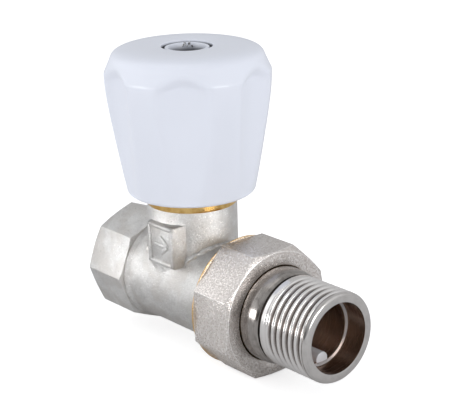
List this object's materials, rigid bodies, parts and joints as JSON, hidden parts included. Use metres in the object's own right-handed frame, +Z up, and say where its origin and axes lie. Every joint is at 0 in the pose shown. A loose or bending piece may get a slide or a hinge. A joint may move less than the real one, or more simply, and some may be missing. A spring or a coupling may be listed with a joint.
{
  "type": "lockshield valve",
  "caption": "Straight radiator valve with a fluted white handwheel, octagon inlet end and union nut with a threaded tailpiece.",
  "frame": {"origin": "centre of the inlet's end face, on the flow axis", "axes": "+X along the flow from the inlet to the tailpiece, +Z up the spindle to the handwheel, +Y square to both"},
  "size_m": [0.0745, 0.0388, 0.0728],
  "materials": {
    "nickel_body": "satin shot-blasted nickel plate on forged brass",
    "nickel_nut": "bead-blasted nickel plate on brass",
    "nickel_tail": "bright nickel plate on turned brass",
    "brass": "bare machined brass",
    "rubber": "matt EPDM",
    "ptfe": "PTFE",
    "steel": "zinc-plated steel",
    "white_plastic": "satin white ABS"
  },
  "bodies": {
    "valve_body": {"body": "nickel_body", "bonnet": "brass", "bonnet_oring": "rubber", "gland_packing": "ptfe", "gland_nut": "brass"},
    "plug": {"disc_holder": "brass", "disc_seal": "rubber", "disc_washer": "brass", "disc_screw": "brass", "plug_clip": "steel"},
    "spindle": {"spindle": "brass", "stem_oring_lower": "rubber", "stem_oring_upper": "rubber", "handwheel": "white_plastic", "screw_washer": "steel", "handwheel_screw": "steel"},
    "union_seal": {"tail_oring": "rubber"},
    "tailpiece": {"tailpiece": "nickel_tail"},
    "union_nut": {"union_nut": "nickel_nut"}
  },
  "joints": [
    {"name": "plug_lift", "type": "slide", "parent": "valve_body", "child": "plug", "axis": [0, 0, 1], "range_m": [0, 0.00375]},
    {"name": "handwheel_turn", "type": "hinge", "parent": "plug", "child": "spindle", "pos_m": [0.0252, 0, 0.03], "axis": [0, 0, 1], "range_deg": [0, 1350]},
    {"name": "union_draw", "type": "slide", "parent": "valve_body", "child": "union_seal", "axis": [1, 0, 0], "range_m": [0, 0.00756]},
    {"name": "nut_turn", "type": "hinge", "parent": "union_seal", "child": "union_nut", "pos_m": [0.0482, 0, 0], "axis": [1, 0, 0], "range_deg": [0, 1500]},
    {"name": "tail_swivel", "type": "hinge", "parent": "union_seal", "child": "tailpiece", "pos_m": [0.0612, 0, 0], "axis": [1, 0, 0], "continuous": true}
  ],
  "couplings": [
    {"joint": "plug_lift", "follows": "handwheel_turn", "m_per_rad": 0.00015915},
    {"joint": "union_draw", "follows": "nut_turn", "m_per_rad": 0.00028871}
  ]
}
